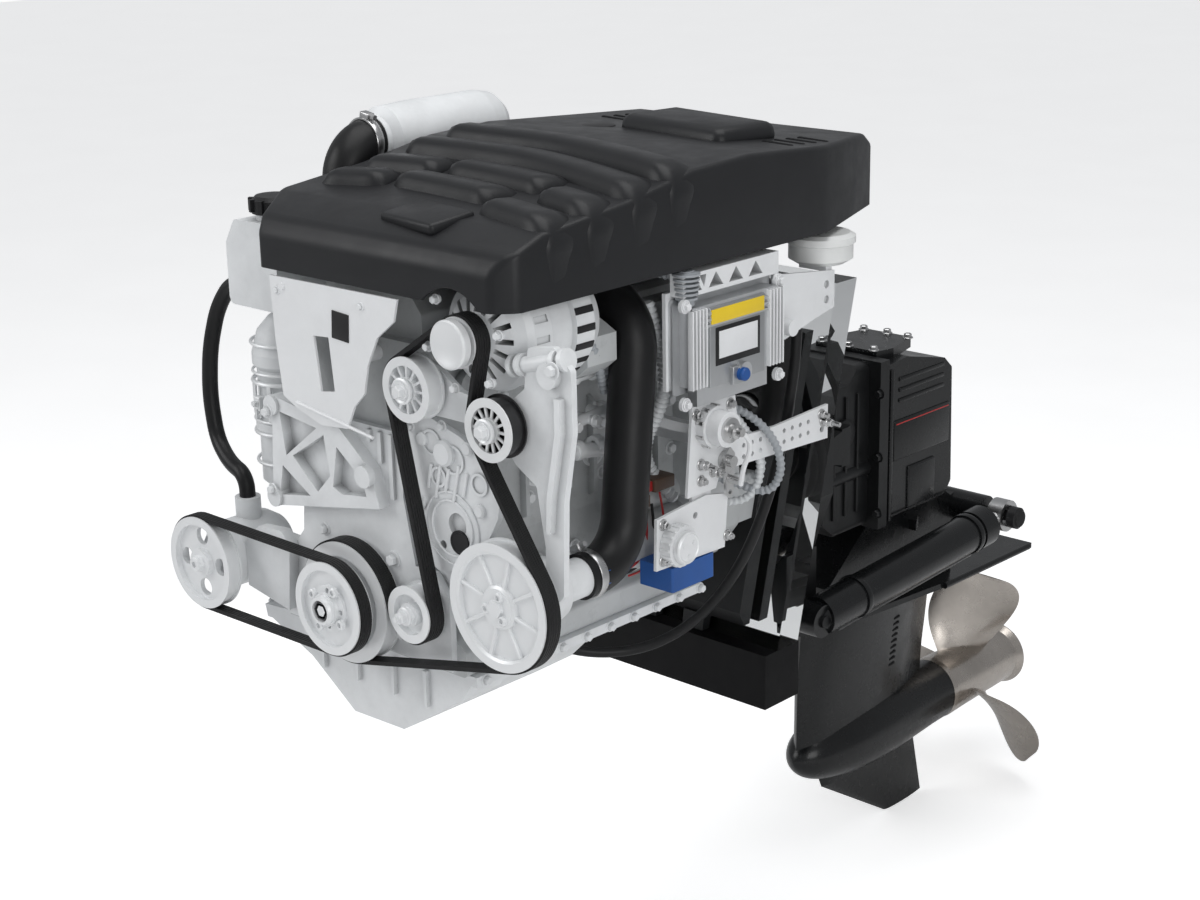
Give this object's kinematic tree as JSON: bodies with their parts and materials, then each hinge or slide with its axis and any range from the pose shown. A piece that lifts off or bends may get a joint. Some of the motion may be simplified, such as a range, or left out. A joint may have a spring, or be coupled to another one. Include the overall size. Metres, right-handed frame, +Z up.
{
  "type": "marine diesel engine with sterndrive",
  "caption": "Inboard marine diesel engine with belt drive, cover and side equipment, joined through a transom board on a stand to a steering, tilting sterndrive and propeller.",
  "frame": {"origin": "centre of the underside of the stand channel that carries the transom board", "axes": "+Z up, +Y aft along the crankshaft towards the propeller, +X to port"},
  "size_m": [0.6833, 1.4615, 1.22],
  "materials": {
    "black_paint": "gloss",
    "black_plastic": "matte",
    "black_rubber": "matte",
    "cast_metal": "rough",
    "clear_board": "gloss",
    "conduit_plastic": "satin",
    "cover_plastic": "satin",
    "engine_paint": "satin",
    "polished_steel": "polished",
    "pulley_paint": "satin",
    "relay_blue": "gloss",
    "tank_plastic": "satin",
    "unit_aluminium": "satin"
  },
  "bodies": {
    "engine": {"accessory_bracket": "engine_paint", "air_hose": "black_rubber", "air_tube": "engine_paint", "alternator": "unit_aluminium", "alternator_bracket": "engine_paint", "cam_cover": "engine_paint", "control_unit": "unit_aluminium", "control_unit_bracket": "engine_paint", "coolant_hose": "black_rubber", "coolant_tank": "engine_paint", "cylinder_head": "engine_paint", "elbow_hose": "black_rubber", "engine_block": "engine_paint", "exhaust_elbow": "engine_paint", "exhaust_manifold": "engine_paint", "filter_canister": "engine_paint", "flywheel_housing": "engine_paint", "front_guard": "engine_paint", "front_plate": "engine_paint", "gimbal_housing": "black_paint", "inner_transom_plate": "black_paint", "intake_manifold": "engine_paint", "oil_pan": "engine_paint", "relay_box": "relay_blue", "reservoir": "tank_plastic", "ribbed_belt": "black_rubber", "slack_cable": "conduit_plastic", "stand_channel": "black_paint", "starter_motor": "black_plastic", "steering_belt": "black_rubber", "steering_hose": "black_rubber", "steering_pump": "engine_paint", "throttle_plate": "engine_paint", "timing_cover": "engine_paint", "transom_board": "clear_board", "turbocharger": "cast_metal", "water_pump": "engine_paint"},
    "crank": {"crankshaft": "cast_metal", "crank_damper": "pulley_paint", "crank_pulley": "pulley_paint"},
    "steering_ring": {"gimbal_ring": "black_paint", "drive_bellows": "black_rubber"},
    "drive": {"bell_housing": "black_paint", "driveshaft_housing": "black_paint", "gearcase": "black_paint", "anchor_pin": "polished_steel"},
    "trim_barrels": {"trim_cylinders": "black_paint"},
    "trim_rod_pair": {"trim_rods": "polished_steel"},
    "propeller_set": {"propeller": "polished_steel", "propeller_shaft": "polished_steel"},
    "water_pump_pulley_body": {"water_pump_pulley": "pulley_paint"},
    "alternator_pulley_body": {"alternator_pulley": "pulley_paint"},
    "idler_upper_body": {"idler_upper": "pulley_paint"},
    "tensioner_pulley_body": {"tensioner_pulley": "pulley_paint"},
    "idler_lower_body": {"idler_lower": "pulley_paint"},
    "steering_pump_pulley_body": {"steering_pump_pulley": "pulley_paint"},
    "throttle_lever_body": {"throttle_lever": "black_plastic"},
    "engine_cover_body": {"engine_cover": "cover_plastic"},
    "coolant_cap_body": {"coolant_cap": "black_plastic"},
    "oil_filler_cap_body": {"oil_filler_cap": "black_plastic"}
  },
  "joints": [
    {"name": "crank_turn", "type": "hinge", "parent": "engine", "child": "crank", "pos_m": [0, -0.626, 0.277], "axis": [0, 1, 0], "continuous": true},
    {"name": "water_pump_pulley_turn", "type": "hinge", "parent": "engine", "child": "water_pump_pulley_body", "pos_m": [0.254, -0.626, 0.334], "axis": [0, 1, 0], "continuous": true},
    {"name": "alternator_pulley_turn", "type": "hinge", "parent": "engine", "child": "alternator_pulley_body", "pos_m": [0.207, -0.626, 0.621], "axis": [0, 1, 0], "continuous": true},
    {"name": "idler_upper_turn", "type": "hinge", "parent": "engine", "child": "idler_upper_body", "pos_m": [0.124, -0.626, 0.555], "axis": [0, 1, 0], "continuous": true},
    {"name": "tensioner_pulley_turn", "type": "hinge", "parent": "engine", "child": "tensioner_pulley_body", "pos_m": [0.25, -0.626, 0.533], "axis": [0, 1, 0], "continuous": true},
    {"name": "idler_lower_turn", "type": "hinge", "parent": "engine", "child": "idler_lower_body", "pos_m": [0.111, -0.626, 0.29], "axis": [0, 1, 0], "continuous": true},
    {"name": "steering_pump_pulley_turn", "type": "hinge", "parent": "engine", "child": "steering_pump_pulley_body", "pos_m": [-0.239, -0.626, 0.277], "axis": [0, 1, 0], "continuous": true},
    {"name": "steering", "type": "hinge", "parent": "engine", "child": "steering_ring", "pos_m": [0, 0.192, 0.277], "axis": [0, 0, 1], "range_deg": [-28, 28], "deforming": ["drive_bellows"]},
    {"name": "trim", "type": "hinge", "parent": "steering_ring", "child": "drive", "pos_m": [0, 0.192, 0.277], "axis": [1, 0, 0], "range_deg": [0, 45]},
    {"name": "trim_cylinder_swing", "type": "hinge", "parent": "steering_ring", "child": "trim_barrels", "pos_m": [0, 0.16, 0.053], "axis": [1, 0, 0], "range_deg": [0, 37]},
    {"name": "trim_rod_stroke", "type": "slide", "parent": "trim_barrels", "child": "trim_rod_pair", "axis": [0, 0.9986, 0.0536], "range_m": [0, 0.157]},
    {"name": "propeller_turn", "type": "hinge", "parent": "drive", "child": "propeller_set", "pos_m": [0, 0.6255, -0.243], "axis": [0, 1, 0], "continuous": true},
    {"name": "throttle_lever_swing", "type": "hinge", "parent": "engine", "child": "throttle_lever_body", "pos_m": [0.272, -0.234, 0.417], "axis": [1, 0, 0], "range_deg": [-25, 30]},
    {"name": "engine_cover_lift", "type": "slide", "parent": "engine", "child": "engine_cover_body", "axis": [0, 0, 1], "range_m": [0, 0.25]},
    {"name": "coolant_cap_lift", "type": "slide", "parent": "engine", "child": "coolant_cap_body", "axis": [0, 0, 1], "range_m": [0, 0.04]},
    {"name": "oil_filler_cap_lift", "type": "slide", "parent": "engine", "child": "oil_filler_cap_body", "axis": [0, 0, 1], "range_m": [0, 0.03]}
  ],
  "couplings": [
    {"joint": "water_pump_pulley_turn", "follows": "crank_turn", "ratio": 1},
    {"joint": "alternator_pulley_turn", "follows": "crank_turn", "ratio": 2.8},
    {"joint": "idler_upper_turn", "follows": "crank_turn", "ratio": 2.0588},
    {"joint": "tensioner_pulley_turn", "follows": "crank_turn", "ratio": -2.1875},
    {"joint": "idler_lower_turn", "follows": "crank_turn", "ratio": -2.2581},
    {"joint": "steering_pump_pulley_turn", "follows": "crank_turn", "ratio": 0.9636},
    {"joint": "trim_cylinder_swing", "follows": "trim", "ratio": 0.8197},
    {"joint": "trim_rod_stroke", "follows": "trim", "m_per_rad": 0.1986}
  ]
}
